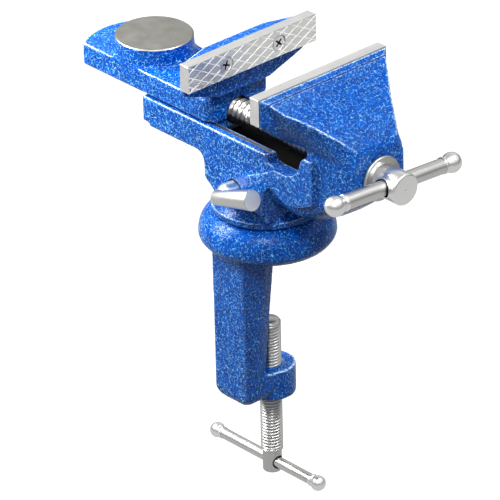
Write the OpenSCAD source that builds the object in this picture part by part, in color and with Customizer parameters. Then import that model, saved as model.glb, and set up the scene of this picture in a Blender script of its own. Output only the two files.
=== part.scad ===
// Clamp-on swivel bench vise with an anvil.
// Origin: the swivel axis, where the round base meets the table top.
// +Z is up, -Y is the front (spindle handle), +Y is the rear (anvil), +X is the right seen from the front.

/* [Jaws] */
// Width of both jaw plates
jaw_w = 75; // [70:0.5:80]
// Height of a jaw plate
plate_h = 12.9; // [11:0.1:14]
// Thickness of a jaw plate
plate_t = 5.5; // [4.5:0.1:6]
// Height of the plates' top edge above the table top
jaw_top_z = 92.9; // [92:0.1:94]
// Gap between the jaw plates as drawn
jaw_gap = 38.8; // [20:0.1:50]
// Distance between the two screws of a jaw plate
screw_pitch = 30.8; // [20:0.2:36]

/* [Bed and head] */
// Half width of the bed casting
bed_hw = 18.6; // [18:0.1:20]
// Half width of the slide channel
channel_hw = 12.1; // [11.5:0.1:12.5]
// Height of the rails' top
rail_z = 54; // [53.5:0.1:54.5]
// Rear end of the bed
bed_rear_y = 60; // [52:1:66]
// Front face of the nose that carries the spindle
nose_y = -71.9; // [-73:0.1:-71]

/* [Spindle] */
// Height of the spindle axis
spindle_z = 55.65; // [55:0.05:56]
// Outer radius of the spindle thread
spindle_r = 6; // [5.5:0.1:6.2]
// Pitch of the spindle thread
spindle_pitch = 3; // [2:0.5:4]
// Radius of the spindle's bar
spindle_bar_r = 3.5; // [3:0.1:4]
// Half length of the spindle's bar between knob centres
spindle_bar_half = 34.2; // [28:0.2:40]
// Resting tilt of the spindle's bar, its +X end low
spindle_bar_tilt = 3.4; // [-45:0.1:45]

/* [Table clamp] */
// Largest radius of the round base
disc_r = 30.6; // [29:0.1:33]
// Height of the seat that the head turns on
seat_z = 15.7; // [15:0.1:16]
// Radius of the swivel spigot
spigot_r = 12; // [10:0.5:12]
// Depth of the throat from the table top down to the arm
throat_d = 62.7; // [55:0.1:66]
// Radius of the clamp screw's thread
clamp_r = 5; // [4.5:0.1:5.5]
// Pitch of the clamp screw's thread
clamp_pitch = 1.5; // [1:0.25:2]
// Height of the clamp screw's tip as drawn
clamp_tip_z = -41; // [-55:0.5:-20]

/* [Swivel lock] */
// Height of the lock screw's axis
lock_z = 29.4; // [28:0.1:30]
// Radius of the lock screw
lock_r = 5; // [4.5:0.1:5]
// Length of the lock lever
lock_bar_l = 24.8; // [20:0.2:30]
// Resting angle of the lock lever, its front end high
lock_bar_tilt = 17.6; // [0:0.1:60]

/* [Hidden] */
$fn = 96;
eps = 0.01;
run = 0.05;
gap = 0.1;
plate_z = jaw_top_z - plate_h;
fixed_face_y = -31.6;
moving_face_y = fixed_face_y + jaw_gap;
fixed_back_y = fixed_face_y - plate_t;
screw_z = plate_z + plate_h / 2;
blue = [0.10, 0.30, 0.78];
steel = [0.80, 0.80, 0.79];
zinc = [0.86, 0.87, 0.88];
dark_steel = [0.42, 0.40, 0.40];
brass = [0.78, 0.62, 0.30];

// ---- helpers ---------------------------------------------------------------
// A shape drawn in X and Z, run along Y from y0 to y1
module run_y(y0, y1) {
    translate([0, y1, 0]) rotate([90, 0, 0]) linear_extrude(y1 - y0) children();
}
// A shape drawn in Y and Z, run along X from x0 to x1
module run_x(x0, x1) {
    translate([x0, 0, 0]) rotate([90, 0, 90]) linear_extrude(x1 - x0) children();
}
// A radius and length profile turned about an axis along X or Y
module turned_x() { rotate([0, 90, 0]) rotate_extrude() children(); }
module turned_y() { rotate([-90, 0, 0]) rotate_extrude() children(); }
module mirror_x() {
    children();
    mirror([1, 0, 0]) children();
}
module rounded_rect(x0, x1, y0, y1, r) {
    translate([x0 + r, y0]) square([x1 - x0 - 2 * r, y1 - y0]);
    translate([x0, y0 + r]) square([x1 - x0, y1 - y0 - 2 * r]);
    for (x = [x0 + r, x1 - r], y = [y0 + r, y1 - r]) translate([x, y]) circle(r);
}
function arc(cx, cy, r, a0, a1, n) =
    [for (i = [0 : n]) let (a = a0 + (a1 - a0) * i / n) [cx + r * cos(a), cy + r * sin(a)]];
// Profile of a threaded rod from s0 to s1 as crests and root grooves, one ring per pitch
function thread_rings(s0, s1, pitch, r, depth) =
    let (n = floor((s1 - s0) / pitch), crest = pitch * 0.3, slope = pitch * 0.2)
    [for (i = [0 : n - 1]) let (s = s0 + i * pitch)
        each [[r, s], [r, s + crest], [r - depth, s + crest + slope],
              [r - depth, s + pitch - slope]]];
// A closed skin over sections that all have the same number of points
module loft(sections) {
    n = len(sections[0]);
    m = len(sections);
    polyhedron(
        points = [for (s = sections) each s],
        faces = concat(
            [[for (i = [n - 1 : -1 : 0]) i]],
            [for (k = [0 : m - 2], i = [0 : n - 1]) let (a = k * n + i, b = k * n + (i + 1) % n)
                each [[a, b, a + n], [b, b + n, a + n]]],
            [[for (i = [0 : n - 1]) (m - 1) * n + i]]));
}
// A full section at one y from the points of its right half
function both_sides(y, half) =
    concat([for (p = half) [p[0], y, p[1]]],
           [for (i = [len(half) - 1 : -1 : 0]) if (half[i][0] > 0) [-half[i][0], y, half[i][1]]]);

// ---- base casting ----------------------------------------------------------
module disc_profile() {
    seat_r = 24.8;
    polygon(concat(
        [[0, 0], [disc_r - 2.2, 0]],
        arc(disc_r - 4.5, 4.5, 4.5, -60, 10, 7),
        arc(seat_r - 4.6, 5.6, 10.1, 12, 84, 9),
        [[seat_r - 4.2, seat_z], [0, seat_z]]));
}
module clamp_base() {
    column_hw = 10.2;
    column_x = -24.4;
    edge_r = 2.5;
    heel_r = 5.5;
    heel_x = -15.4;
    heel_z = -75.3;
    arm_z = -throat_d;
    foot_z = arm_z - 14.5;
    boss_r = 11.3;
    color(blue) difference() {
        union() {
            rotate_extrude() disc_profile();
            // spigot with the groove that the lock screw bears in
            difference() {
                translate([0, 0, seat_z - eps]) cylinder(r = spigot_r, h = 20.1);
                difference() {
                    translate([0, 0, lock_z - 4]) cylinder(r = spigot_r + 1, h = 8);
                    translate([0, 0, lock_z - 5]) cylinder(r = spigot_r - 1.5, h = 10);
                }
            }
            // column: its side view, front view and plan, with a round heel turned at the bottom
            intersection() {
                run_y(-column_hw, column_hw) polygon(concat(
                    [[column_x - 1.6, 1], [column_x - 0.5, -2], [column_x, -6]],
                    arc(column_x + 0.4 + heel_r, heel_z + heel_r, heel_r, 180, 270, 7),
                    [[-2, heel_z], [-2, arm_z]],
                    arc(-7.4, arm_z + 3, 3, 270, 180, 5),
                    [[-4.2, -8]],
                    arc(-1.1, -4, 3.1, 180, 100, 5),
                    [[-1, 1]]));
                run_x(-30, 1) polygon(concat(
                    [[-column_hw, 2]],
                    arc(heel_r - column_hw, heel_z + heel_r, heel_r, 180, 270, 7),
                    arc(column_hw - heel_r, heel_z + heel_r, heel_r, 270, 360, 7),
                    [[column_hw, 2]]));
                translate([0, 0, -90]) linear_extrude(92) polygon(concat(
                    arc(column_x + edge_r - 1, edge_r - column_hw, edge_r, 180, 270, 5),
                    [[2, -column_hw], [2, column_hw]],
                    arc(column_x + edge_r - 1, column_hw - edge_r, edge_r, 90, 180, 5)));
                translate([heel_x, 0, 0]) rotate_extrude() polygon(concat(
                    [[0, 2], [30, 2], [30, arm_z + 2], [13.6, arm_z - 1]],
                    arc(4.6, heel_z + 9, 9, 0, -90, 9),
                    [[0, heel_z]]));
            }
            // web between the heel and the boss
            run_y(-7.6, 7.6) polygon([[-14, arm_z], [-14, heel_z + 4], [-9, foot_z + 3.2],
                                      [0, foot_z + 3.2], [0, arm_z]]);
            translate([0, 0, foot_z]) cylinder(r = boss_r, h = arm_z - foot_z);
        }
        // long bevels along the column's inner edges
        for (s = [0, 1]) mirror([0, s, 0])
            translate([-11.05, -column_hw, -8]) rotate([0, 5.4, 0]) rotate([0, 0, 16])
                translate([-1, -10, -53.4]) cube([16, 10, 54.4]);
        // tapped hole for the clamp screw
        translate([0, 0, foot_z - 1]) cylinder(r = clamp_r + run, h = arm_z - foot_z + 2);
        translate([0, 0, foot_z - eps]) cylinder(r1 = clamp_r + 0.8, r2 = clamp_r, h = 0.9);
    }
}

// ---- clamp screw and its bar -----------------------------------------------
clamp_hole_z = clamp_tip_z - 72;
clamp_bar_r = 2.5;
clamp_ball_r = 3.5;
clamp_bar_ends = [-30, 36.4];
module clamp_screw() {
    thread_l = 65;
    shank_r = 4.35;
    end_z = clamp_tip_z - 77;
    color(zinc) difference() {
        rotate_extrude() polygon(concat(
            [[0, end_z], [shank_r - 0.6, end_z], [shank_r, end_z + 0.6],
             [shank_r, clamp_tip_z - 1 - thread_l]],
            thread_rings(clamp_tip_z - 1 - thread_l, clamp_tip_z - 1, clamp_pitch, clamp_r, 0.85),
            [[clamp_r, clamp_tip_z - 1.4], [clamp_r - 1.2, clamp_tip_z], [0, clamp_tip_z]]));
        translate([0, -10, clamp_hole_z]) rotate([-90, 0, 0]) cylinder(r = clamp_bar_r + run, h = 20);
    }
}
module bar_knob_profile(ball_r, bar_r, pin_r, pin_l) {
    neck = 0.75 * ball_r;
    difference() {
        union() {
            intersection() {
                circle(ball_r);
                translate([0, -ball_r]) square([ball_r, 2 * ball_r]);
            }
            polygon([[0, -ball_r * 1.25], [bar_r + 0.1, -ball_r * 1.25],
                     [bar_r + 0.35, -ball_r * 1.1], [ball_r * 0.8, -neck + 0.3],
                     [ball_r * 0.85, 0], [0, 0]]);
        }
        translate([0, -ball_r * 1.25 - 1]) square([pin_r, pin_l + 1]);
    }
}
// A bar between two knob centres, with a pin at each end that the knobs are pressed on
module bar_profile(s0, s1, ball_r, bar_r, pin_r, pin_l) {
    shoulder = ball_r * 1.25;
    polygon([[0, s0 + shoulder - pin_l], [pin_r, s0 + shoulder - pin_l], [pin_r, s0 + shoulder],
             [bar_r, s0 + shoulder], [bar_r, s1 - shoulder], [pin_r, s1 - shoulder],
             [pin_r, s1 - shoulder + pin_l], [0, s1 - shoulder + pin_l]]);
}
clamp_pin_r = 1.5;
clamp_pin_l = 4;
module clamp_bar() {
    color(zinc) translate([0, 0, clamp_hole_z]) turned_y()
        bar_profile(clamp_bar_ends[0], clamp_bar_ends[1], clamp_ball_r, clamp_bar_r,
                    clamp_pin_r, clamp_pin_l);
}
module clamp_bar_knob_front() {
    color(zinc) translate([0, clamp_bar_ends[0], clamp_hole_z]) mirror([0, 1, 0]) turned_y()
        bar_knob_profile(clamp_ball_r, clamp_bar_r, clamp_pin_r, clamp_pin_l);
}
module clamp_bar_knob_rear() {
    color(zinc) translate([0, clamp_bar_ends[1], clamp_hole_z]) turned_y()
        bar_knob_profile(clamp_ball_r, clamp_bar_r, clamp_pin_r, clamp_pin_l);
}

// ---- head casting: bed, pedestal, front jaw and nose --------------------------
seat_gap = 0.05;
slot_hw = 14.6;
slot_z = 44;
lip_z = 48.5;
cavity_y = -60;
// Half sections of the front jaw: its sloping face, its undercut sides and the shoulder
jaw_sections = [
    [fixed_back_y, [[jaw_w / 2, jaw_top_z], [jaw_w / 2, plate_z - 0.2], [31.2, 74.2], [24.8, 69.9],
                    [18.9, 66.3], [14, 57]]],
    [-39.5, [[34.6, 90.9], [33.6, 80.6], [29.5, 74.6], [24.2, 70.2], [18.8, 66.2], [14, 57]]],
    [-40.6, [[33.9, 90.2], [31.0, 82.0], [28.0, 76.2], [23.6, 70.8], [18.7, 66.1], [14, 57]]],
    [-45.5, [[30.7, 86.5], [28.6, 80.6], [25.6, 75.6], [22.2, 70.6], [18.4, 66.0], [14, 57]]],
    [-50.0, [[27.1, 84.5], [25.6, 79.7], [23.5, 74.9], [21.0, 70.1], [18.2, 65.8], [13.8, 57]]],
    [-57.5, [[21.4, 80.2], [20.9, 76.6], [20.2, 72.7], [19.2, 68.9], [17.6, 65.4], [13.4, 57]]],
    [-65.0, [[16.3, 75.7], [16.6, 73.0], [16.8, 70.2], [16.8, 67.4], [16.4, 65.0], [12.8, 57]]],
    [-70.2, [[12.2, 71.6], [13.2, 70.0], [14.2, 68.2], [14.9, 66.4], [15.1, 64.6], [12, 57]]],
    [nose_y + 0.3, [[9.8, 68.8], [11.2, 67.6], [12.4, 66.4], [13.2, 65.2], [13.7, 64.0], [11, 57]]]];
// The belly under them: y, half width, height where the side turns under, height of the keel
belly_sections = [
    [-12, 18.45, 36.0, 22.2], [-20, 18.45, 40.0, 23.4], [-26, 18.45, 39.2, 23.8],
    [-33, 18.45, 36.0, 24.2], [-40, 18.45, 35.8, 25.2], [-47, 18.4, 38.0, 28.0],
    [-54, 18.0, 41.0, 32.0], [-61, 17.2, 44.5, 36.8], [-67, 16.3, 48.0, 41.6],
    [-70.4, 15.4, 51.0, 45.2], [nose_y, 14.0, 53.0, 47.6]];
function belly_half(b) =
    concat([[b[1], 64]],
           [for (a = [0 : 15 : 90]) [b[1] * cos(a), b[2] - (b[2] - b[3]) * sin(a)]]);
module head_solids() {
    // bed
    run_y(-22, bed_rear_y) polygon([
        [-bed_hw, rail_z], [-bed_hw, 41], [-bed_hw + 1, 40], [bed_hw - 1, 40], [bed_hw, 41],
        [bed_hw, rail_z]]);
    // pedestal and its fillets into the bed and the foot
    run_x(-bed_hw, bed_hw) polygon(concat(
        [[-20, 44], [-20, 20], [12, 20], [14.2, 24]],
        arc(15.6, 29.5, 4.6, -10, 10, 2),
        [[20.4, 36]],
        arc(24.6, 36.2, 4, 170, 100, 5),
        [[26, 44]]));
    rotate_extrude() polygon(concat(
        [[0, seat_z + seat_gap], [24.3, seat_z + seat_gap], [24.8, seat_z + 0.6], [24.8, 18.6]],
        arc(27.2, 24.6, 6.4, 248, 180, 7),
        [[20.5, 27], [0, 27]]));
    // cheeks below the bed, thinner towards the lock screw
    mirror_x() intersection() {
        run_x(bed_hw - 1, bed_hw + 1.9) polygon([
            [7, 24], [7, 32], [3, 35.5], [-1, 36.6], [-24, 47.9], [-44.3, 62], [-50.8, 62.2],
            [-50.8, 41.2], [-45, 38.2], [-39, 36.2], [-33, 36.4], [-28.5, 38.4], [-23.5, 40],
            [-20, 36], [-19.2, 24]]);
        linear_extrude(70) polygon([
            [0, -60], [bed_hw + 1.9, -60], [bed_hw + 1.9, -19.2], [bed_hw + 0.2, 4],
            [bed_hw + 0.2, 8], [0, 8]]);
    }
    // front jaw and nose
    loft([for (s = jaw_sections) both_sides(s[0], s[1])]);
    loft([for (b = belly_sections) both_sides(b[0], belly_half(b))]);
}
module vise_body() {
    color(blue) difference() {
        head_solids();
        // channel with its slot under the rails, and the cavity behind the nose
        run_y(cavity_y, bed_rear_y + 1) {
            translate([-channel_hw, slot_z]) square([2 * channel_hw, rail_z - slot_z]);
            translate([0, rail_z - eps]) intersection() {
                circle(channel_hw);
                translate([-channel_hw, 0]) square([2 * channel_hw, channel_hw]);
            }
        }
        run_y(-19.7, bed_rear_y + 1) translate([-slot_hw, slot_z])
            square([2 * slot_hw, lip_z - slot_z]);
        // machined ways beside the channel
        run_y(-20, bed_rear_y + 1) translate([-15.2, rail_z - 0.2]) square([30.4, 5]);
        // side windows between the rails and the front jaw
        run_x(-30, 30) polygon([
            [0, 80], [0, rail_z], [-19.7, rail_z], [-21.5, 50.6], [-25, 49.5], [-34.5, 49.6],
            [-38.8, 51.4], [-42.3, 55], [-43.8, 60], [-46, 62.5], [-46, 67.1],
            [-36.9, 66.2], [-36.9, 80]]);
        // step at the rear end of the bed
        run_x(-30, 30) polygon([[56, 30], [56, 42], [61, 42], [61, 30]]);
        // spindle bearing
        translate([0, nose_y - 1, spindle_z]) rotate([-90, 0, 0])
            cylinder(r = spindle_r + run, h = cavity_y - nose_y + 2);
        // spigot bearing
        translate([0, 0, seat_z - 1]) cylinder(r = spigot_r + run, h = 21.3);
        // tapped hole for the lock screw
        translate([-bed_hw - 4, 0, lock_z]) rotate([0, 90, 0])
            cylinder(r = lock_r + run, h = bed_hw + 4 - spigot_r + 1.3);
        // tapped holes for the jaw plate's screws
        for (x = [-1, 1] * screw_pitch / 2)
            translate([x, fixed_back_y - 5.8, screw_z]) rotate([-90, 0, 0])
                cylinder(r = 2 + run, h = 7);
    }
}

// ---- jaw plates and their screws ------------------------------------------------
// A plate with its gripping face at y = 0 and its back at y = plate_t
module jaw_plate() {
    difference() {
        translate([-jaw_w / 2, 0, plate_z]) cube([jaw_w, plate_t, plate_h]);
        for (x = [-1, 1] * screw_pitch / 2) translate([x, 0, screw_z]) {
            rotate([-90, 0, 0]) translate([0, 0, -1]) cylinder(r = 2.2, h = plate_t + 2);
            turned_y() polygon([[0, -1], [3.8, -1], [3.8, 0.5], [2.2, 2.1], [0, 2.1]]);
        }
    }
}
module plate_screws() {
    for (x = [-1, 1] * screw_pitch / 2) translate([x, 0, screw_z]) difference() {
        turned_y() polygon([[0, 0.25], [3.5, 0.25], [3.7, 0.5], [2.0, 2.2], [2.0, plate_t + 4.6],
                            [1.5, plate_t + 5.2], [0, plate_t + 5.2]]);
        for (a = [20, 110]) rotate([0, a, 0]) translate([-1.9, -0.5, -0.45]) cube([3.8, 2, 0.9]);
    }
}
module front_jaw_plate() {
    color(steel) translate([0, fixed_face_y, 0]) mirror([0, 1, 0]) jaw_plate();
}
module front_jaw_screws() {
    color(zinc) translate([0, fixed_face_y, 0]) mirror([0, 1, 0]) plate_screws();
}
module rear_jaw_plate() {
    color(steel) translate([0, moving_face_y, 0]) jaw_plate();
}
module rear_jaw_screws() {
    color(zinc) translate([0, moving_face_y, 0]) plate_screws();
}

// ---- moving jaw: drawn with y = 0 at the gripping face of its plate ---------------
deck_y = 9.8;
deck_hw = 17.5;
deck_z = 54.9;
deck_top_z = 65.2;
deck_end_y = 99.1;
anvil_y = 64.8;
anvil_r = 17.5;
anvil_z = 74;
nut_y = 22.8;
nut_l = 16;
nut_hw = 9;
nut_top_z = 62.4;
tongue_hw = channel_hw - 0.1;
keeper_z = lip_z - 0.05;
keeper_y = [15, 51.8];
keeper_screw_x = 9.3;
keeper_screw_y = [19, 46];
module moving_jaw() {
    end_r = 27.9;
    color(blue) translate([0, moving_face_y, 0]) difference() {
        union() {
            // deck
            translate([0, 0, deck_z]) linear_extrude(deck_top_z - deck_z) {
                rounded_rect(-deck_hw, deck_hw, deck_y, deck_end_y - 12, 4);
                intersection() {
                    translate([0, deck_end_y - end_r]) circle(end_r);
                    translate([-deck_hw, deck_end_y - 24]) square([2 * deck_hw, 30]);
                }
            }
            // sliding pads and tongue
            translate([0, 0, rail_z - 0.15]) linear_extrude(2)
                rounded_rect(-15, 15, deck_y, 52, 2);
            translate([-tongue_hw, deck_y + 1, keeper_z]) cube([2 * tongue_hw, 41, 8]);
            // anvil, with its foot cut flush with the deck's sides
            intersection() {
                translate([0, anvil_y, 0]) rotate_extrude() polygon(concat(
                    [[0, deck_z + 3], [anvil_r + 2.4, deck_z + 3], [anvil_r + 2.4, deck_top_z - 0.2]],
                    arc(anvil_r + 3.6, deck_top_z + 3, 3.3, 250, 185, 5),
                    [[anvil_r, anvil_z - 0.5], [anvil_r - 0.5, anvil_z], [0, anvil_z]]));
                run_y(anvil_y - 25, anvil_y + 25) translate([-deck_hw, deck_z])
                    square([2 * deck_hw, 30]);
            }
            // neck
            run_x(-14.6, 14.6) polygon([
                [plate_t, 70.4], [deck_y, 66], [deck_y, 60], [34, 60], [33, 65.4], [28, 67],
                [23.5, 70.4], [19.5, 76], [15.5, 84], [12.6, 91.2], [plate_t, 91.4]]);
            mirror_x() run_x(14, 16.6) polygon([
                [deck_y, 60], [deck_y, 67], [plate_t + 2, 70], [13, 71], [20, 68.5], [27, 65],
                [27, 60]]);
            // flared jaw behind the plate
            intersection() {
                translate([0, 0, 60]) linear_extrude(31.4) polygon([
                    [-36, plate_t], [36, plate_t], [34.5, plate_t + 1.8], [17, plate_t + 7.2],
                    [-17, plate_t + 7.2], [-34.5, plate_t + 1.8]]);
                run_y(0, 30) polygon([
                    [-36, 91.4], [36, 91.4], [36, 77], [34, 75.2], [14.5, 68.6], [-14.5, 68.6],
                    [-34, 75.2], [-36, 77]]);
            }
        }
        // spindle's way through the front wall, and the open tunnel behind it
        translate([0, deck_y - 1, spindle_z]) rotate([-90, 0, 0])
            cylinder(r = spindle_r + 0.4, h = 15);
        translate([0, nut_y, spindle_z]) rotate([-90, 0, 0])
            cylinder(r = spindle_r + 0.6, h = 69);
        translate([-spindle_r - 0.6, nut_y, 40]) cube([2 * spindle_r + 1.2, 69, spindle_z - 40]);
        // nut pocket, open at the bottom
        translate([-nut_hw, nut_y, 40]) cube([2 * nut_hw, nut_l, nut_top_z - 40]);
        // tapped holes for the jaw plate's screws and the keeper's screws
        for (x = [-1, 1] * screw_pitch / 2)
            translate([x, 0, screw_z]) rotate([-90, 0, 0]) cylinder(r = 2 + run, h = plate_t + 5.8);
        for (x = [-1, 1] * keeper_screw_x, y = keeper_screw_y)
            translate([x, y, keeper_z - 1]) cylinder(r = 1.5 + run, h = 11);
    }
}
module keeper_plate() {
    keeper_t = 4;
    color(steel) translate([0, moving_face_y, 0]) difference() {
        translate([0, 0, keeper_z - keeper_t]) linear_extrude(keeper_t)
            rounded_rect(0.25 - slot_hw, slot_hw - 0.25, keeper_y[0], keeper_y[1], 2);
        for (x = [-1, 1] * keeper_screw_x, y = keeper_screw_y) translate([x, y, keeper_z - keeper_t]) {
            translate([0, 0, -1]) cylinder(r = 1.7, h = keeper_t + 2);
            translate([0, 0, -eps]) cylinder(r1 = 3.1, r2 = 1.7, h = 1.4);
        }
    }
}
module keeper_screws() {
    color(zinc) translate([0, moving_face_y, 0])
        for (x = [-1, 1] * keeper_screw_x, y = keeper_screw_y)
            translate([x, y, keeper_z - 4]) difference() {
                rotate_extrude() polygon([[0, 0.1], [2.65, 0.1], [2.75, 0.2], [1.5, 1.45], [1.5, 10.6],
                                          [1.1, 11], [0, 11]]);
                for (a = [0, 90]) rotate([0, 0, a]) translate([-1.4, -0.3, -1]) cube([2.8, 0.6, 2]);
            }
}
module spindle_nut() {
    color(brass) translate([0, moving_face_y, 0]) difference() {
        translate([-nut_hw, nut_y, keeper_z]) cube([2 * nut_hw, nut_l, nut_top_z - keeper_z]);
        translate([0, nut_y - 1, spindle_z]) rotate([-90, 0, 0])
            cylinder(r = spindle_r + run, h = nut_l + 2);
    }
}

// ---- spindle, its thrust parts and its bar ----------------------------------------
head_r = 7.3;
head_y = nose_y - 2.1;
head_end_y = nose_y - 16.2;
spindle_bar_y = nose_y - 8.5;
spindle_end_y = 58;
ring_y = cavity_y + 1.7;
spindle_ball_r = 4.65;
spindle_pin_r = 2;
spindle_pin_l = 5;
module spindle() {
    color(dark_steel) translate([0, 0, spindle_z]) difference() {
        turned_y() polygon(concat(
            [[0, head_end_y + 0.5], [0.7, head_end_y], [head_r - 0.8, head_end_y],
             [head_r, head_end_y + 0.8], [head_r, head_y], [spindle_r, head_y],
             [spindle_r, ring_y], [spindle_r - 1.2, ring_y], [spindle_r - 1.2, ring_y + 1.3],
             [spindle_r, ring_y + 1.3], [spindle_r, -54]],
            thread_rings(-54, spindle_end_y - 1, spindle_pitch, spindle_r, 1.25),
            [[spindle_r, spindle_end_y - 1.3], [spindle_r - 1.3, spindle_end_y],
             [0, spindle_end_y]]));
        translate([0, spindle_bar_y, 0]) rotate([0, 90 + spindle_bar_tilt, 0])
            translate([0, 0, -12]) cylinder(r = spindle_bar_r + run, h = 24);
    }
}
module spindle_collar() {
    color(zinc) translate([0, head_y, spindle_z]) turned_y() polygon([
        [spindle_r + run, 0.05], [9.6, 0.05], [10.4, 0.5], [10.4, 1.6], [10.1, 2.0],
        [spindle_r + run, 2.0]]);
}
module retaining_washer() {
    color(zinc) translate([0, cavity_y + run, spindle_z]) turned_y()
        polygon([[spindle_r + run, 0], [9.5, 0], [9.5, 1.5], [spindle_r + run, 1.5]]);
}
module retaining_ring() {
    ring_r = 9;
    color(dark_steel) translate([0, ring_y + 0.05, spindle_z]) difference() {
        turned_y() polygon([[spindle_r - 1.2 + run, 0], [ring_r, 0], [ring_r, 1.2],
                            [spindle_r - 1.2 + run, 1.2]]);
        translate([-1.6, -1, -ring_r - 1]) cube([3.2, 4, ring_r]);
    }
}
module spindle_bar_frame() {
    translate([0, spindle_bar_y, spindle_z]) rotate([0, spindle_bar_tilt, 0]) children();
}
module spindle_bar() {
    color(zinc) spindle_bar_frame() turned_x()
        bar_profile(-spindle_bar_half, spindle_bar_half, spindle_ball_r, spindle_bar_r,
                    spindle_pin_r, spindle_pin_l);
}
module spindle_bar_knob_right() {
    color(zinc) spindle_bar_frame() translate([spindle_bar_half, 0, 0]) turned_x()
        bar_knob_profile(spindle_ball_r, spindle_bar_r, spindle_pin_r, spindle_pin_l);
}
module spindle_bar_knob_left() {
    color(zinc) spindle_bar_frame() mirror([1, 0, 0]) translate([spindle_bar_half, 0, 0]) turned_x()
        bar_knob_profile(spindle_ball_r, spindle_bar_r, spindle_pin_r, spindle_pin_l);
}

// ---- swivel lock ---------------------------------------------------------------------
lock_bar_x = -28.4;
lock_stub_r = 2.4;
module lock_frame() { translate([0, 0, lock_z]) rotate([-lock_bar_tilt, 0, 0]) children(); }
// The tapered lever as a solid, thick at its front end
module lock_lever() {
    rear_y = 1.6;
    front_y = rear_y - lock_bar_l;
    lock_frame() translate([lock_bar_x, 0, 0]) turned_y() polygon([
        [0, front_y], [4.35, front_y], [4.75, front_y + 0.4], [3.45, rear_y - 0.5],
        [2.95, rear_y], [0, rear_y]]);
}
module lock_stub() {
    lock_frame() translate([lock_bar_x, 0, 0]) rotate([0, 90, 0]) cylinder(r = lock_stub_r, h = 10);
}
module lock_screw() {
    tip_x = -spigot_r + 1.4;
    end_x = lock_bar_x + 1.4;
    color(zinc) {
        difference() {
            translate([0, 0, lock_z]) turned_x() polygon(concat(
                [[0, end_x]], arc(lock_r - 3.4, end_x + 3.4, 3.4, 270, 360, 6),
                [[lock_r, tip_x - 2], [3.4, tip_x - 1.6], [3.4, tip_x], [0, tip_x]]));
            lock_lever();
        }
        lock_stub();
    }
}
module lock_bar() {
    color(zinc) difference() {
        lock_lever();
        lock_stub();
    }
}

clamp_base();
clamp_screw();
clamp_bar();
clamp_bar_knob_front();
clamp_bar_knob_rear();
vise_body();
front_jaw_plate();
front_jaw_screws();
moving_jaw();
rear_jaw_plate();
rear_jaw_screws();
spindle_nut();
keeper_plate();
keeper_screws();
spindle();
spindle_collar();
retaining_washer();
retaining_ring();
spindle_bar();
spindle_bar_knob_left();
spindle_bar_knob_right();
lock_screw();
lock_bar();
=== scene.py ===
"""The looks of a clamp-on bench vise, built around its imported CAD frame. Metres, in the part's own frame.

Outlines, places and textures are written in millimetres, and MM turns them into metres.
"""
import math

import bmesh
import bpy
from mathutils import Matrix, Vector


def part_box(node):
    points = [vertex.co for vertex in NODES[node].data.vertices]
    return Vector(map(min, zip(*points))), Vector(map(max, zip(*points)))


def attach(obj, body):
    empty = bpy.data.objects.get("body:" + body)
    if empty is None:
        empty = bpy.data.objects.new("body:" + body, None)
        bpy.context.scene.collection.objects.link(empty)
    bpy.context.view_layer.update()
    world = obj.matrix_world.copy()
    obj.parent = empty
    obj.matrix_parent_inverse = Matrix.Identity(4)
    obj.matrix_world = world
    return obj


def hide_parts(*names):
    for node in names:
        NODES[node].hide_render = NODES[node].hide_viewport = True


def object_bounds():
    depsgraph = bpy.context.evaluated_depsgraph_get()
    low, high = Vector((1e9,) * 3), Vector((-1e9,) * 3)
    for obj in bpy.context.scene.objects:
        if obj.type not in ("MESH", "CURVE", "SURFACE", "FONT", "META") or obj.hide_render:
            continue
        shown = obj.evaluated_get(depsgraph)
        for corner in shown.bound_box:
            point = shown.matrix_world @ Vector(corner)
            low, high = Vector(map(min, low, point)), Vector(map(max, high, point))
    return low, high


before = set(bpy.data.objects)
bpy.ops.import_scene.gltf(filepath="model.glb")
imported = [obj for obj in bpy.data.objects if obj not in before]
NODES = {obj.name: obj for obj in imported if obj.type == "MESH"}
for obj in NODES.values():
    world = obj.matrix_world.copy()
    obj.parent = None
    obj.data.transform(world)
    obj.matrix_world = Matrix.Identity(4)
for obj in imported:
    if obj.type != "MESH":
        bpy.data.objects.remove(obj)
cad_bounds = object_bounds()
MM = 0.001


def box_mm(node):
    """A CAD node's lowest and highest corners, in millimetres to the hundredth."""
    return [[round(value / MM, 2) for value in corner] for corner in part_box(node)]


def middle_mm(node):
    """The middle of a CAD node's box, in millimetres to the hundredth."""
    return [round((low + high) / 2 / MM, 2) for low, high in zip(*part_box(node))]


# ---- places shared by the pieces, in millimetres --------------------------------------
FIXED_FACE_Y = box_mm("front_jaw_plate")[1][1]
MOVING_FACE_Y = box_mm("rear_jaw_plate")[0][1]
SCREW_Z = middle_mm("front_jaw_plate")[2]
SCREW_X = (-15.4, 15.4)
ANVIL_Y = MOVING_FACE_Y + 64.8
SPINDLE_Z = middle_mm("spindle")[2]
SPINDLE_BAR_Y = middle_mm("spindle_bar")[1]
CLAMP_BAR_Z = middle_mm("clamp_bar")[2]
LOCK_X = middle_mm("lock_bar")[0]
LOCK_Z = middle_mm("lock_screw")[2]

# ---- the tilt of the spindle's bar and of the lock lever, in radians --------------------
BAR_TILT = math.radians(3.4)
BAR_AXIS = Vector((math.cos(BAR_TILT), 0, -math.sin(BAR_TILT)))
LOCK_TILT = math.radians(17.6)

# ---- a casting's material slots ----------------------------------------------------------
# the last slot is bare iron darkened near to black: painted shade inside channels and holes
PAINTED, MACHINED, BARE_SHADED = 0, 1, 2


# ---- camera, lights and studio ------------------------------------------------------------
def linked(name, data):
    """A new object that shows the data, in the scene."""
    thing = bpy.data.objects.new(name, data)
    bpy.context.scene.collection.objects.link(thing)
    return thing


def direction(azimuth, elevation):
    """The unit vector from the object towards a point at that azimuth and elevation, in degrees."""
    a, e = math.radians(azimuth), math.radians(elevation)
    return Vector((math.sin(a) * math.cos(e), -math.cos(a) * math.cos(e), math.sin(e)))


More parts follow.
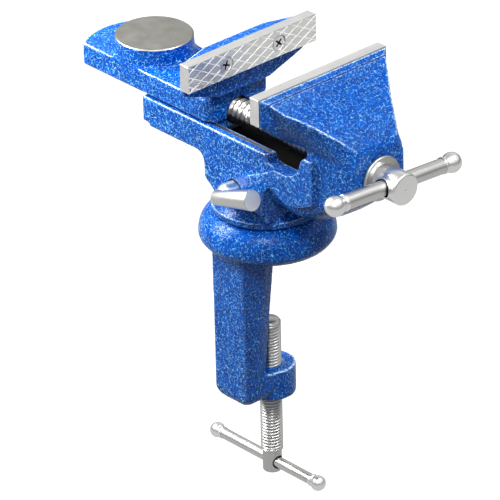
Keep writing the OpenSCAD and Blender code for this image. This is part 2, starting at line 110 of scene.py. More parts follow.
def make_camera():
    azimuth, elevation, roll = -41.862, 28.251, math.radians(-1.256)
    distance = 2.5126
    target = Vector((-16.15, -6.10, 1.49)) * MM
    data = bpy.data.cameras.new("camera")
    data.sensor_width = 36
    data.lens = 415.0
    data.clip_start = 0.1
    camera = linked("camera", data)
    back = direction(azimuth, elevation)
    right = Vector((math.cos(math.radians(azimuth)), math.sin(math.radians(azimuth)), 0))
    up = back.cross(right)
    x_axis = right * math.cos(roll) + up * math.sin(roll)
    y_axis = up * math.cos(roll) - right * math.sin(roll)
    turn = Matrix((x_axis, y_axis, back)).transposed().to_4x4()
    camera.matrix_world = Matrix.Translation(target + back * distance) @ turn
    bpy.context.scene.camera = camera


def add_softbox(name, azimuth, elevation, size, power, distance=0.9, along=None):
    """An area light that faces the vise. along is the way its long side runs."""
    data = bpy.data.lights.new(name, "AREA")
    data.shape = "RECTANGLE"
    data.size, data.size_y = size
    data.energy = power
    light = linked(name, data)
    aim = Vector((0, 0, 0.02))
    back = direction(azimuth, elevation)
    x_axis = Vector(along) if along else Vector((0, 0, 1)).cross(back)
    x_axis = (x_axis - back * x_axis.dot(back)).normalized()
    turn = Matrix((x_axis, back.cross(x_axis), back)).transposed().to_4x4()
    light.matrix_world = Matrix.Translation(aim + back * distance) @ turn


def make_world():
    """A pale studio with a bright band some 30 degrees above the horizon. The camera itself sees white."""
    # (height, brightness): height is 0 straight down, 0.5 at the horizon and 1 straight up
    stops = [(0.0, 0.10), (0.5, 0.07), (0.62, 0.32), (0.73, 0.84), (0.79, 0.80), (0.88, 0.36), (1.0, 0.56)]
    world = bpy.data.worlds.new("studio")
    bpy.context.scene.world = world
    world.use_nodes = True
    tree = world.node_tree
    coord = tree.nodes.new("ShaderNodeTexCoord")
    split = tree.nodes.new("ShaderNodeSeparateXYZ")
    tree.links.new(coord.outputs["Generated"], split.inputs[0])
    lift = tree.nodes.new("ShaderNodeMapRange")
    lift.inputs["From Min"].default_value = -1
    tree.links.new(split.outputs["Z"], lift.inputs["Value"])
    ramp = tree.nodes.new("ShaderNodeValToRGB")
    tree.links.new(lift.outputs["Result"], ramp.inputs["Fac"])
    for height, _ in stops[1:-1]:
        ramp.color_ramp.elements.new(height)
    for element, (height, brightness) in zip(ramp.color_ramp.elements, stops):
        element.position = height
        element.color = (brightness, brightness, brightness, 1)
    path = tree.nodes.new("ShaderNodeLightPath")
    mix = tree.nodes.new("ShaderNodeMix")
    mix.data_type = "RGBA"
    tree.links.new(path.outputs["Is Camera Ray"], mix.inputs["Factor"])
    tree.links.new(ramp.outputs["Color"], mix.inputs["A"])
    mix.inputs["B"].default_value = (1, 1, 1, 1)
    tree.links.new(mix.outputs["Result"], tree.nodes["Background"].inputs["Color"])


def make_floor():
    low, _ = cad_bounds
    half = 3.0
    mesh = bpy.data.meshes.new("floor")
    corners = [(-half, -half, low.z), (half, -half, low.z), (half, half, low.z), (-half, half, low.z)]
    mesh.from_pydata(corners, [], [(0, 1, 2, 3)])
    floor = linked("floor", mesh)
    pale = bpy.data.materials.new("pale_floor")
    pale.use_nodes = True
    tree = pale.node_tree
    shader = tree.nodes["Principled BSDF"]
    shader.inputs["Base Color"].default_value = (0.12, 0.12, 0.12, 1)
    shader.inputs["Roughness"].default_value = 0.9
    shader.inputs["Specular IOR Level"].default_value = 0.1
    # seen in shiny metal it is brighter than the light it throws back
    glow = tree.nodes.new("ShaderNodeEmission")
    path = tree.nodes.new("ShaderNodeLightPath")
    share = tree.nodes.new("ShaderNodeMath")
    share.operation = "MULTIPLY"
    share.inputs[1].default_value = 0.5
    tree.links.new(path.outputs["Is Glossy Ray"], share.inputs[0])
    blend = tree.nodes.new("ShaderNodeMixShader")
    for socket, source in zip(blend.inputs, (share, shader, glow)):
        tree.links.new(source.outputs[0], socket)
    tree.links.new(blend.outputs[0], tree.nodes["Material Output"].inputs["Surface"])
    # the camera sees the white studio through it, also from below and with the clamp screwed down
    floor.visible_camera = False
    mesh.materials.append(pale)


# ---- materials ----------------------------------------------------------------------------
class Paint:
    """A material's node tree with short calls for its nodes. Coordinates are millimetres on the piece."""

    def __init__(self, name):
        self.material = bpy.data.materials.new(name)
        self.material.use_nodes = True
        self.tree = self.material.node_tree
        self.shader = self.tree.nodes["Principled BSDF"]
        coord = self.tree.nodes.new("ShaderNodeTexCoord")
        self.at = self.vector("SCALE", coord.outputs["Object"], scale=1 / MM)

    def put(self, socket, value):
        if isinstance(value, bpy.types.NodeSocket):
            self.tree.links.new(value, socket)
        else:
            socket.default_value = value

    def vector(self, operation, a, b=None, scale=None):
        node = self.tree.nodes.new("ShaderNodeVectorMath")
        node.operation = operation
        self.put(node.inputs[0], a)
        if b is not None:
            self.put(node.inputs[1], b)
        if scale is not None:
            self.put(node.inputs["Scale"], scale)
        return node.outputs["Value" if operation == "LENGTH" else "Vector"]

    def math(self, operation, a, b):
        node = self.tree.nodes.new("ShaderNodeMath")
        node.operation = operation
        self.put(node.inputs[0], a)
        self.put(node.inputs[1], b)
        return node.outputs[0]

    def noise(self, scale, at=None, detail=2.0, rough=0.5, out="Fac"):
        node = self.tree.nodes.new("ShaderNodeTexNoise")
        self.put(node.inputs["Vector"], self.at if at is None else at)
        node.inputs["Scale"].default_value = scale
        node.inputs["Detail"].default_value = detail
        node.inputs["Roughness"].default_value = rough
        return node.outputs[out]

    def cell_edges(self, scale, at):
        """The distance to the nearest edge of a net of cells."""
        node = self.tree.nodes.new("ShaderNodeTexVoronoi")
        node.feature = "DISTANCE_TO_EDGE"
        self.put(node.inputs["Vector"], at)
        node.inputs["Scale"].default_value = scale
        return node.outputs["Distance"]

    def ramp(self, value, low, high, to_low=0.0, to_high=1.0):
        node = self.tree.nodes.new("ShaderNodeMapRange")
        node.interpolation_type = "SMOOTHSTEP"
        self.put(node.inputs["Value"], value)
        for name, limit in (("From Min", low), ("From Max", high), ("To Min", to_low), ("To Max", to_high)):
            node.inputs[name].default_value = limit
        return node.outputs["Result"]

    def mix(self, factor, a, b):
        node = self.tree.nodes.new("ShaderNodeMix")
        node.data_type = "RGBA"
        self.put(node.inputs["Factor"], factor)
        for socket, value in ((node.inputs["A"], a), (node.inputs["B"], b)):
            self.put(socket, value if isinstance(value, bpy.types.NodeSocket) else (*value, 1))
        return node.outputs["Result"]

    def bump(self, height, depth, strength):
        node = self.tree.nodes.new("ShaderNodeBump")
        node.inputs["Strength"].default_value = strength
        node.inputs["Distance"].default_value = depth * MM
        self.put(node.inputs["Height"], height)
        self.put(self.shader.inputs["Normal"], node.outputs["Normal"])

    def set(self, **values):
        for name, value in values.items():
            self.put(self.shader.inputs[name.replace("_", " ")], value)
        return self.material


def hammertone():
    """Blue hammertone enamel: a fine broken net of pale, raised lines on a deep blue, with painted highlights
    on its edges.
    """
    deep_blue, mid_blue = (0.0, 0.060, 0.32), (0.0, 0.106, 0.49)
    # the second colour below is the white of the edges' painted highlight, partly thin paint
    pale_blue, thin_paint_and_highlight = (0.28, 0.68, 0.97), (0.70, 0.86, 1.0)
    paint = Paint("blue_hammertone")
    drift = paint.vector("SUBTRACT", paint.noise(0.7, detail=3, out="Color"), (0.5, 0.5, 0.5))
    drifted = paint.vector("ADD", paint.at, paint.vector("SCALE", drift, scale=1.8))
    net = paint.ramp(paint.cell_edges(0.54, drifted), 0.012, 0.058, 1, 0)
    net = paint.math("MULTIPLY", net, paint.ramp(paint.noise(0.9, detail=3, rough=0.6), 0.46, 0.52))
    dots = paint.ramp(paint.noise(2.4, at=drifted, detail=2, rough=0.6), 0.68, 0.72)
    pale = paint.math("MAXIMUM", net, dots)
    # pale paint on the outer edges: partly thin paint, mostly a painted highlight, strongest on the edges
    # that face up
    shape = paint.tree.nodes.new("ShaderNodeNewGeometry")
    split = paint.tree.nodes.new("ShaderNodeSeparateXYZ")
    paint.put(split.inputs[0], shape.outputs["Normal"])
    edge = paint.math("MULTIPLY", paint.ramp(shape.outputs["Pointiness"], 0.507, 0.535),
                      paint.ramp(paint.noise(1.6, detail=3), 0.42, 0.52))
    edge = paint.math("MULTIPLY", edge, paint.ramp(split.outputs["Z"], 0.3, 0.7, 0.12, 1.0))
    blue = paint.mix(paint.ramp(paint.noise(0.35, detail=4), 0.35, 0.65), deep_blue, mid_blue)
    colour = paint.mix(edge, paint.mix(pale, blue, pale_blue), thin_paint_and_highlight)
    height = paint.math("ADD", paint.math("MULTIPLY", pale, 0.6), paint.noise(0.9, detail=3))
    paint.bump(height, 0.24, 1.0)
    return paint.set(Base_Color=colour, Roughness=paint.ramp(pale, 0, 1, 0.13, 0.10),
                     Specular_IOR_Level=0.26)


def tinted(colour, share):
    return tuple(min(1.0, part * share) for part in colour)


def metal(paint, shade, colour, tone, smoothest, roughest):
    """Finishes a bare metal whose colour and roughness follow shade. tone is how far the colour swings."""
    mixed = paint.mix(paint.ramp(shade, 0.3, 0.7), tinted(colour, 1 - tone), tinted(colour, 1 + tone))
    return paint.set(Base_Color=mixed, Metallic=1.0,
                     Roughness=paint.ramp(shade, 0.3, 0.7, smoothest, roughest))


def worked_steel(name, colour, roughness, stretch, tone=0.12):
    """Bare steel with fine marks. stretch scales the grain along each axis of the piece, per millimetre."""
    paint = Paint(name)
    marks = paint.noise(1.0, at=paint.vector("MULTIPLY", paint.at, stretch), detail=4, rough=0.65)
    clouds = paint.noise(0.12, detail=3)
    shade = paint.math("ADD", paint.math("MULTIPLY", marks, 0.7), paint.math("MULTIPLY", clouds, 0.3))
    return metal(paint, shade, colour, tone, roughness - tone * 0.2, roughness + tone * 0.3)


def turned_face(name, colour, roughness, centre):
    """A face turned on a lathe, with fine rings round centre, an (x, y) in millimetres."""
    paint = Paint(name)
    flat = paint.vector("MULTIPLY", paint.vector("SUBTRACT", paint.at, (*centre, 0)), (1, 1, 0))
    radius = paint.tree.nodes.new("ShaderNodeCombineXYZ")
    paint.put(radius.inputs[0], paint.vector("LENGTH", flat))
    rings = paint.noise(2.4, at=radius.outputs[0], detail=3, rough=0.7)
    clouds = paint.noise(0.15, detail=4)
    shade = paint.math("ADD", paint.math("MULTIPLY", rings, 0.6), paint.math("MULTIPLY", clouds, 0.4))
    paint.bump(rings, 0.012, 0.7)
    return metal(paint, shade, colour, 0.15, roughness - 0.05, roughness + 0.05)


def shaded_bare_iron(name, colour, roughness):
    """Bare cast iron with a fine sandy grain, darkened near to black as painted shade for channels, holes and
    recesses.
    """
    paint = Paint(name)
    grain = paint.noise(2.2, detail=4, rough=0.7)
    paint.bump(grain, 0.05, 0.5)
    return paint.set(Base_Color=paint.mix(grain, tinted(colour, 0.6), colour), Metallic=0.6,
                     Roughness=paint.ramp(grain, 0.3, 0.7, roughness - 0.08, roughness + 0.08))


# ---- mesh helpers --------------------------------------------------------------------------
def shade_smooth(mesh, angle):
    """Smooth shading, broken where two faces meet at more than angle, in degrees."""
    mesh.polygons.foreach_set("use_smooth", [True] * len(mesh.polygons))
    mesh.set_sharp_from_angle(angle=math.radians(angle))


def add_materials(mesh, *materials):
    for material in materials:
        mesh.materials.append(material)


def finish_piece(piece, body, slot, *replaced):
    """Says which body the piece rides on and which CAD nodes it stands for. slot is not used."""
    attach(piece, body)
    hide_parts(*replaced)


def mesh_of(name, points, faces, material_index=0):
    """A mesh from points in millimetres, with its normals made to look outwards."""
    mesh = bpy.data.meshes.new(name)
    mesh.from_pydata([Vector(point) * MM for point in points], [], faces)
    bm = bmesh.new()
    bm.from_mesh(mesh)
    bmesh.ops.remove_doubles(bm, verts=bm.verts, dist=1e-7)
    bmesh.ops.recalc_face_normals(bm, faces=bm.faces)
    for face in bm.faces:
        face.material_index = material_index
    bm.to_mesh(mesh)
    bm.free()
    return mesh


def arc(centre, radius, first, last, steps):
    """Points on a circle from one angle to another, in degrees."""
    angles = [math.radians(first + (last - first) * i / steps) for i in range(steps + 1)]
    return [(centre[0] + radius * math.cos(a), centre[1] + radius * math.sin(a)) for a in angles]


def prism(name, outline, y0, y1, material_index=0):
    """A solid with an (x, z) outline between two values of y."""
    n = len(outline)
    points = [(x, y, z) for y in (y0, y1) for x, z in outline]
    ends = [tuple(range(n)), tuple(range(2 * n - 1, n - 1, -1))]
    sides = [(i, (i + 1) % n, n + (i + 1) % n, n + i) for i in range(n)]
    return mesh_of(name, points, ends + sides, material_index)


def block(name, low, high, material_index=0):
    """A box between its lowest and highest corners."""
    (x0, y0, z0), (x1, y1, z1) = low, high
    return prism(name, [(x0, z0), (x1, z0), (x1, z1), (x0, z1)], y0, y1, material_index)


# one pitch of a thread: crest, flank, root and flank, as (share of the pitch, share of the depth)
THREAD_FORM = [(0.0, 0.0), (0.14, 0.0), (0.28, 0.25), (0.44, 0.9), (0.5, 1.0), (0.6, 1.0), (0.66, 0.9),
               (0.84, 0.25)]


def thread_column(radius, start, end, pitch, depth, share_of_turn):
    """A thread's (radius, distance) points at one place round its axis. It fades out at both ends."""
    steps = len(THREAD_FORM)
    rows = math.ceil(steps * ((end - start) / pitch + 1)) + 1
    column = []
    for row in range(rows):
        share, deep = THREAD_FORM[row % steps]
        distance = start + pitch * (row // steps + share + share_of_turn - 1)
        distance = min(max(distance, start), end)
        fade = min(1.0, (distance - start) / pitch, (end - distance) / pitch)
        column.append((radius - depth * deep * fade, distance))
    return column


def turned(name, profile, origin=(0, 0, 0), axis=(0, 0, 1), segments=72, thread=None, material_index=0):
    """A solid turned from a (radius, distance) profile.

    The profile starts and ends on the axis, or is a closed ring round it.
    thread is (index, start, end, pitch, depth): a right-hand thread cut between profile points
    index and index + 1, which both have the thread's outer radius.
    """
    turn = Vector(axis).to_track_quat("Z", "Y").to_matrix().to_4x4()
    place = Matrix.Translation(Vector(origin)) @ turn
    columns = [profile] * segments
    first = last = 0
    if thread:
        index, *form = thread
        threads = [thread_column(profile[index][0], *form, i / segments) for i in range(segments)]
        columns = [profile[:index + 1] + column + profile[index + 1:] for column in threads]
        first, last = index + 1, index + len(threads[0])
    count = len(columns[0])
    points = [place @ Vector((radius * math.cos(2 * math.pi * i / segments),
                              radius * math.sin(2 * math.pi * i / segments), distance))
              for i, column in enumerate(columns) for radius, distance in column]
    faces = []
    for i in range(segments):
        following = (i + 1) % segments
        for row in range(count - 1):
            low, high = row, row + 1
            if following == 0 and first <= row < last:
                # back at the first column, the thread is one pitch further on
                low, high = (min(at + len(THREAD_FORM), last) for at in (row, row + 1))
            faces.append((i * count + row, following * count + low, following * count + high,
                          i * count + row + 1))
    return mesh_of(name, points, faces, material_index)


def drill(name, radius, length, origin, axis=(0, 0, 1), material_index=BARE_SHADED):
    """A round cutter that starts at origin and runs along axis."""
    profile = [(0, 0), (radius, 0), (radius, length), (0, length)]
    return turned(name, profile, origin, axis, material_index=material_index)


def bake(piece):
    """Applies the piece's modifiers."""
    graph = bpy.context.evaluated_depsgraph_get()
    mesh = bpy.data.meshes.new_from_object(piece.evaluated_get(graph))
    old = piece.data
    piece.modifiers.clear()
    piece.data = mesh
    mesh.name = old.name
    bpy.data.meshes.remove(old)


def cut(piece, *cutters):
    """Cuts each mesh out of the piece. The new faces take the cutter's material index."""
    for mesh in cutters:
        tool = linked("cutter", mesh)
        modifier = piece.modifiers.new("cut", "BOOLEAN")
        modifier.operation = "DIFFERENCE"
        modifier.solver = "MANIFOLD"
        modifier.object = tool
        bake(piece)
        bpy.data.objects.remove(tool)
        bpy.data.meshes.remove(mesh)
    # the cutters have no materials of their own, and leave empty slots behind
    while piece.data.materials and piece.data.materials[-1] is None:
        piece.data.materials.pop()


# ---- the three castings -------------------------------------------------------------------
def casting(name, node, body, voxel, rounds, materials, cutters, added=()):
    """A CAD casting with soft edges, the paint's own relief, and machined faces cut crisp.

    added meshes join the casting before its edges are rounded; cutters are cut out afterwards.
    """
    relief_size, relief_depth = 2.2, 0.14
    bm = bmesh.new()
    bm.from_mesh(NODES[node].data)
    for mesh in added:
        bm.from_mesh(mesh)
    bmesh.ops.remove_doubles(bm, verts=bm.verts, dist=1e-7)
    mesh = bpy.data.meshes.new(name)
    bm.to_mesh(mesh)
    bm.free()
    piece = linked(name, mesh)
    remesh = piece.modifiers.new("voxels", "REMESH")
    remesh.mode = "VOXEL"
    remesh.voxel_size = voxel * MM
    smooth = piece.modifiers.new("soft_edges", "SMOOTH")
    smooth.factor = 0.5
    smooth.iterations = rounds
    relief = piece.modifiers.new("relief", "DISPLACE")
    texture = bpy.data.textures.new("relief", "CLOUDS")
    texture.noise_scale = relief_size * MM
    relief.texture = texture
    relief.texture_coords = "LOCAL"
    relief.strength = relief_depth * MM
    relief.mid_level = 0.5
    bake(piece)
    piece.data.materials.clear()
    add_materials(piece.data, *materials)
    cut(piece, *cutters)
    shade_smooth(piece.data, 40)
    finish_piece(piece, body, "blue_hammertone", node)


def head_casting():
    floor_z, lip_z, rail_z, open_y = 43.9, 48.5, 53.78, 62
    channel_hw, slot_hw, ways_hw = 12.2, 14.7, 15.25
    step_y, beyond_x, step_x = (-40.3, -39.6), 40, 33.2
    # the step behind the jaw's flange runs along its top and down both its ends
    cutters = [block("step", (-beyond_x, step_y[0], 89.9), (beyond_x, step_y[1], 96))]
    for x0, x1 in ((-beyond_x, -step_x), (step_x, beyond_x)):
        cutters.append(block("end_step", (x0, step_y[0], 81.0), (x1, step_y[1], 90.5)))
    channel = [(-channel_hw, floor_z), (channel_hw, floor_z)] + arc((0, 54), channel_hw, 0, 180, 24)
    # the channel, the slot, the lock hole and the spigot hole are lined with near-black iron as painted shade
    cutters += [
        prism("channel", channel, -60, open_y, BARE_SHADED),
        block("slot", (-slot_hw, -19.7, floor_z), (slot_hw, open_y, lip_z), BARE_SHADED),
        block("ways", (-ways_hw, -20, rail_z), (ways_hw, open_y, 75), MACHINED),
        drill("bearing", 6.1, 16, (0, -74, SPINDLE_Z), (0, 1, 0), material_index=MACHINED),
        drill("lock_hole", 5.6, 14, (-24, 0, LOCK_Z), (1, 0, 0)),
        drill("spigot_hole", 12.15, 21.5, (0, 0, 14.8))]
    casting("head_casting", "vise_body", "head", 0.55, 5, (PAINT, WAYS, SHADED_IRON), cutters)


def jaw_casting():
    y = MOVING_FACE_Y
    anvil_r, anvil_z, shoulder_z, over_z, under_z = 17.5, 74, 73.5, 80, 40
    tunnel_hw, pocket_hw = 6.65, 9.05
    # the anvil is cast 2 mm too high and faced down to its height
    raised = [(0, 66), (anvil_r, 66), (anvil_r, anvil_z + 2), (0, anvil_z + 2)]
    facing = [(0, anvil_z), (17.05, anvil_z), (17.6, shoulder_z), (22, shoulder_z), (22, over_z), (0, over_z)]
    # the spindle's way, the tunnel and the pocket are lined with near-black iron as painted shade
    cutters = (
        turned("facing", facing, (0, ANVIL_Y, 0), segments=144, material_index=MACHINED),
        drill("way", 6.55, 90, (0, y + 8, SPINDLE_Z), (0, 1, 0)),
        block("tunnel", (-tunnel_hw, y + 22.8, under_z), (tunnel_hw, y + 91.8, SPINDLE_Z), BARE_SHADED),
        block("pocket", (-pocket_hw, y + 22.75, under_z), (pocket_hw, y + 38.85, 62.5), BARE_SHADED))
    casting("jaw_casting", "moving_jaw", "slide_jaw", 0.56, 8, (PAINT, ANVIL, SHADED_IRON), cutters,
            added=(turned("raised", raised, (0, ANVIL_Y, 0)),))


def base_casting():
    # the relief gives the raised clamp screw's tip room in the fillet under the disc
    cutters = (
        # the clamp screw's hole is lined with near-black iron as painted shade
        drill("hole", 5.1, 18, (0, 0, -79)),
        drill("tip_relief", 5.5, 16, (0, 0, -26), material_index=PAINTED))
    casting("base_casting", "clamp_base", "clamp_frame", 0.54, 10, (PAINT, WAYS, SHADED_IRON), cutters)


# ---- jaw plates and their screws ------------------------------------------------------------
def grooves(name, side, face_y, out):
    """V-grooves across a plate's face at y = face_y, leaning to one side. out is the way the face looks."""
    spacing, reach, half_width, depth, lift = 8.6, 60, 0.30, 0.15, 0.12
    lean = math.radians(28) * side
    along = Vector((math.cos(lean), 0, math.sin(lean)))
    across = Vector((-math.sin(lean), 0, math.cos(lean)))
    outward = Vector((0, out, 0))
    ring = (across * half_width + outward * lift, outward * -depth, across * -half_width + outward * lift)
    points, faces = [], []
    for i in range(-6, 7):
        middle = Vector((i * spacing, face_y, SCREW_Z))
        a = len(points)
        for end in (-reach, reach):
            points += [middle + along * end + corner for corner in ring]
        faces += [(a, a + 1, a + 2), (a + 5, a + 4, a + 3)]
        faces += [(a + j, a + 3 + j, a + 3 + (j + 1) % 3, a + (j + 1) % 3) for j in range(3)]
    return mesh_of(name, points, faces, material_index=1)


def jaw_plate(name, node, body, face_y, back):
    """A ground plate with two countersunk holes and a cut diamond pattern. back is +1 or -1 along y."""
    plate = linked(name, block(name, *box_mm(node)))
    bevel = plate.modifiers.new("broken_edges", "BEVEL")
    bevel.width = 0.28 * MM
    bevel.segments = 2
    bake(plate)
    plate.data.materials.clear()
    # the grooves take the second, brighter steel, a painted highlight
    add_materials(plate.data, GROUND, GROOVE_HIGHLIGHT)
    sink = [(0, -1), (3.85, -1), (3.85, 0.5), (2.2, 2.1), (2.2, 7), (0, 7)]
    cut(plate, *[turned("sink", sink, (x, face_y, SCREW_Z), (0, back, 0), segments=48) for x in SCREW_X])
    cut(plate, grooves("rising", 1, face_y, -back), grooves("falling", -1, face_y, -back))
    shade_smooth(plate.data, 12)
    finish_piece(plate, body, "machined_steel", node)


def cross_recess(face_y, back, x, turn):
    """The two wings of a screw's cross, turned by so many degrees, as cutters."""
    wing_half, wing_hw, wing_depth = 2.1, 0.42, 1.35
    wings = []
    for angle in (turn, turn + 90):
        wing = block("wing", (-wing_half, -1, -wing_hw), (wing_half, wing_depth, wing_hw), material_index=1)
        spin = Matrix.Rotation(math.radians(angle), 4, "Y")
        flip = Matrix.Diagonal((1, back, 1, 1))
        wing.transform(Matrix.Translation(Vector((x, face_y, SCREW_Z)) * MM) @ flip @ spin)
        if back < 0:
            wing.flip_normals()
        wings.append(wing)
    return wings


def plate_screws(name, node, body, face_y, back):
    """Two countersunk cross-head screws, slightly below the plate's face."""
    profile = [(0, 0.22), (2.6, 0.25), (3.35, 0.32), (3.6, 0.5), (3.55, 0.62), (2.0, 2.2), (2.0, 10.1),
               (1.5, 10.7), (0, 10.7)]
    bm = bmesh.new()
    for x, turn in zip(SCREW_X, (20, 43)):
        screw = linked("screw", turned("screw", profile, (x, face_y, SCREW_Z), (0, back, 0)))
        # the cross recess takes the near-black iron, painted shade
        add_materials(screw.data, ZINC, SHADED_IRON)
        cut(screw, *cross_recess(face_y, back, x, turn))
        bm.from_mesh(screw.data)
        bpy.data.objects.remove(screw)
    mesh = bpy.data.meshes.new(name)
    bm.to_mesh(mesh)
    bm.free()
    add_materials(mesh, ZINC, SHADED_IRON)
    shade_smooth(mesh, 32)
    finish_piece(linked(name, mesh), body, "zinc_plated_steel", node)


# ---- spindle, clamp screw, bars and lock -----------------------------------------------------
def steel_piece(name, mesh, body, material, slot, *replaced, sharp=32):
    """A finished piece of one material. sharp is the angle of its sharp edges, in degrees."""
    add_materials(mesh, material)
    shade_smooth(mesh, sharp)
    piece = linked(name, mesh)
    finish_piece(piece, body, slot, *replaced)
    return piece


def spindle_screw():
    head_r, screw_r, ring_groove_r = 7.3, 6.0, 4.8
    front_y, head_back_y, ring_y, ring_back_y = -88.1, -74.0, -58.3, -57.0
    thread_y, thread_end_y, end_y, plated_y = -54, 56.7, 58, -70.5
    profile = [(0, front_y + 0.7), (0.75, front_y), (6.4, front_y)]
    profile += arc((head_r - 1.0, front_y + 1.0), 1.0, 285, 360, 4)
    profile += [(head_r, -74.4), (7.05, head_back_y), (screw_r, head_back_y), (screw_r, ring_y),
                (ring_groove_r, ring_y), (ring_groove_r, ring_back_y), (screw_r, ring_back_y),
                (screw_r, thread_y)]
    start = len(profile) - 1
    profile += [(screw_r, thread_end_y), (4.7, end_y), (0, end_y)]
    mesh = turned("spindle_screw", profile, (0, 0, SPINDLE_Z), (0, 1, 0), segments=48,
                  thread=(start, thread_y, thread_end_y, 3, 1.25))
    piece = steel_piece("spindle_screw", mesh, "spindle_unit", THREAD, "oiled_steel", "spindle")
    # the hole widens towards both its mouths; its walls are near-black as painted shade, and the head is
    # plated
    add_materials(piece.data, ZINC, SHADED_IRON)
    threaded, plated, painted_shade = 0, 1, 2
    hole = [(0, 0), (5.0, 0), (4.5, 4.6), (3.8, 6.6), (3.8, 17.4), (4.5, 19.4), (5.0, 24), (0, 24)]
    centre = Vector((0, SPINDLE_BAR_Y, SPINDLE_Z))
    cut(piece, turned("hole", hole, centre - BAR_AXIS * 12, BAR_AXIS, segments=48, material_index=painted_shade))
    for face in piece.data.polygons:
        if face.center.y < plated_y * MM and face.material_index == threaded:
            face.material_index = plated
    piece.data.set_sharp_from_angle(angle=math.radians(32))


def thrust_collar():
    bore_r, front, back = 6.05, 0.05, 2.0
    ring = [(bore_r, front), (9.4, front)] + arc((9.5, 0.95), 0.9, 280, 360, 3)
    ring += arc((9.9, 1.5), 0.5, 0, 90, 3) + [(bore_r, back), (bore_r, front)]
    mesh = turned("thrust_collar", ring, (0, -74.0, SPINDLE_Z), (0, 1, 0), segments=96)
    steel_piece("thrust_collar", mesh, "spindle_unit", SCREW, "zinc_plated_steel", "spindle_collar")


def clamp_spindle():
    screw_r, shank_r, low_z, tip_z = 5.0, 4.35, -118, -41
    thread_z, thread_end_z = -107, -42.4
    profile = [(0, low_z + 0.4), (0.6, low_z), (3.6, low_z)] + arc((3.6, low_z + 0.75), 0.75, 285, 360, 3)
    profile += [(shank_r, -107.5), (4.6, -107.2), (screw_r, thread_z)]
    start = len(profile) - 1
    profile += [(screw_r, thread_end_z), (4.2, -41.3), (3.7, tip_z), (0, tip_z)]
    mesh = turned("clamp_spindle_screw", profile, segments=44,
                  thread=(start, thread_z, thread_end_z, 1.5, 0.85))
    piece = steel_piece("clamp_spindle_screw", mesh, "clamp_spindle", SCREW, "zinc_plated_steel",
                        "clamp_screw")
    # the bar's hole is lined with near-black iron as painted shade
    add_materials(piece.data, SHADED_IRON)
    hole = [(0, 0), (3.6, 0), (3.2, 1.8), (2.8, 3.0), (2.8, 9.0), (3.2, 10.2), (3.6, 12), (0, 12)]
    cut(piece, turned("hole", hole, (0, -6, CLAMP_BAR_Z), (0, 1, 0), segments=36, material_index=1))
    piece.data.set_sharp_from_angle(angle=math.radians(32))


def knob_profile(ball, rod):
    """A ball with a small ring where it meets its rod, from the shoulder outwards."""
    neck = -ball * 1.25
    ring = [(0, neck), (rod, neck), (rod + 0.28, neck + 0.12), (rod + 0.36, neck + 0.4),
            (rod + 0.36, neck + 0.95), (rod + 0.2, neck + 1.25), (rod - 0.05, neck + 1.6)]
    return ring + arc((0, 0), ball, -40, 90, 20)[:-1] + [(0, ball)]


def sliding_bar(name, node, left, right, body, middle, axis, ends, ball, rod):
    """A round bar of radius rod with a ball pressed on each end. ends are the balls' places along it."""
    middle, axis = Vector(middle), Vector(axis)
    low, high = ends[0] + ball * 1.25, ends[1] - ball * 1.25
    profile = [(0, low), (rod - 0.2, low), (rod, low + 0.2), (rod, high - 0.2), (rod - 0.2, high), (0, high)]
    slot = "zinc_plated_steel"
    steel_piece(name, turned(name, profile, middle, axis), body, ROD, slot, node)
    for other, way, end in ((left, -1, ends[0]), (right, 1, ends[1])):
        mesh = turned(other + "_ball", knob_profile(ball, rod), middle + axis * end, axis * way)
        steel_piece(other + "_ball", mesh, body, ZINC, slot, other, sharp=40)


def swivel_lock():
    """The lock screw across the head, and its tapered lever. Only the lever's end face differs: it is cut
    rough, and its near-white colour is a painted reflection.
    """
    axis = Vector((0, math.cos(LOCK_TILT), -math.sin(LOCK_TILT)))
    lever = [(0, -23.2), (4.2, -23.2)] + arc((4.35, -22.8), 0.4, 285, 360, 3)
    lever += arc((2.85, 1.0), 0.6, 0, 80, 4) + [(0, 1.6)]
    mesh = turned("lock_lever", lever, (LOCK_X, 0, LOCK_Z), axis, segments=96)
    piece = steel_piece("lock_lever", mesh, "swivel_lock", ROD, "zinc_plated_steel", "lock_bar")
    # the end face takes a near-white steel, a painted reflection
    add_materials(piece.data, ROD_END_REFLECTION)
    for polygon in piece.data.polygons:
        if polygon.normal.dot(axis) < -0.99:
            polygon.material_index = 1
    screw = [(0, -27)] + arc((1.6, -23.6), 3.4, 275, 360, 8)
    screw += [(5.0, -12.6), (3.4, -12.2), (3.4, -10.6), (0, -10.6)]
    mesh = turned("lock_stem", screw, (0, 0, LOCK_Z), (1, 0, 0), segments=96)
    steel_piece("lock_stem", mesh, "swivel_lock", ZINC, "zinc_plated_steel", "lock_screw")


make_camera()
bpy.context.scene.view_settings.view_transform = "Standard"
bpy.context.scene.view_settings.look = "Medium High Contrast"
make_world()
make_floor()
add_softbox("key_softbox", -50, 52, (0.2, 0.14), 3.6)
add_softbox("rear_left_softbox", -144, 38, (0.28, 0.043), 1.5, 0.32, along=(0.757, 0, 0.608))
add_softbox("front_top_softbox", 27, 60, (0.4, 0.08), 3.0)

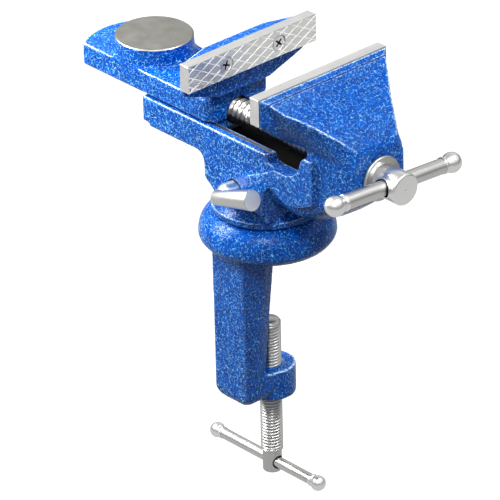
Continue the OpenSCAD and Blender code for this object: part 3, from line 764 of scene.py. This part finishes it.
PAINT = hammertone()
GROUND = worked_steel("ground_steel", (0.86, 0.86, 0.84), 0.30, (0.10, 2.5, 2.5))
# the grooves are a brighter steel than the plate's face: a painted highlight, so their lines read light
# whichever way they lean
GROOVE_HIGHLIGHT = worked_steel("milled_groove_highlight", (0.98, 0.98, 0.97), 0.75, (1.0, 1.0, 1.0), tone=0.05)
ZINC = worked_steel("zinc_plated_steel", (0.84, 0.84, 0.83), 0.33, (0.9, 0.9, 0.9), tone=0.02)
ROD = worked_steel("drawn_rod", (0.64, 0.64, 0.63), 0.36, (0.6, 0.6, 0.6), tone=0.02)
# the lever's end face: rough like a cut face, near-white as a painted reflection
ROD_END_REFLECTION = worked_steel("cut_rod_end_reflection", (0.95, 0.95, 0.94), 0.65, (1.6, 1.6, 1.6), tone=0.05)
SCREW = worked_steel("rolled_thread", (0.54, 0.54, 0.53), 0.38, (1.2, 1.2, 1.2), tone=0.04)
THREAD = worked_steel("oiled_steel", (0.42, 0.40, 0.39), 0.32, (1.5, 1.5, 1.5))
BRONZE = worked_steel("bronze", (0.56, 0.38, 0.16), 0.34, (0.6, 2.5, 0.6))
WAYS = worked_steel("machined_ways", (0.34, 0.33, 0.31), 0.42, (2.5, 0.08, 2.5))
ANVIL = turned_face("turned_anvil", (0.40, 0.40, 0.365), 0.42, (0, ANVIL_Y))
# near-black iron: painted shade in channels, holes and recesses of bare iron
SHADED_IRON = shaded_bare_iron("iron_painted_shade", (0.025, 0.024, 0.023), 0.5)

head_casting()
jaw_casting()
base_casting()
jaw_plate("front_plate", "front_jaw_plate", "head", FIXED_FACE_Y, -1)
jaw_plate("rear_plate", "rear_jaw_plate", "slide_jaw", MOVING_FACE_Y, 1)
plate_screws("front_plate_screws", "front_jaw_screws", "head", FIXED_FACE_Y, -1)
plate_screws("rear_plate_screws", "rear_jaw_screws", "slide_jaw", MOVING_FACE_Y, 1)
spindle_screw()
thrust_collar()
clamp_spindle()
sliding_bar("spindle_rod", "spindle_bar", "spindle_bar_knob_left", "spindle_bar_knob_right",
            "spindle_handle", (0, SPINDLE_BAR_Y, SPINDLE_Z), BAR_AXIS, (-34.2, 34.2), 4.65, 3.5)
sliding_bar("clamp_rod", "clamp_bar", "clamp_bar_knob_front", "clamp_bar_knob_rear",
            "clamp_handle", (0, 0, CLAMP_BAR_Z), (0, 1, 0), (-30, 36.4), 3.5, 2.5)
swivel_lock()

# the hidden parts keep their CAD shape and only get a better material
INNER = {"spindle_nut": BRONZE, "keeper_plate": GROUND, "keeper_screws": ZINC, "retaining_washer": ZINC,
         "retaining_ring": THREAD}
for node, material in INNER.items():
    NODES[node].data.materials.clear()
    add_materials(NODES[node].data, material)
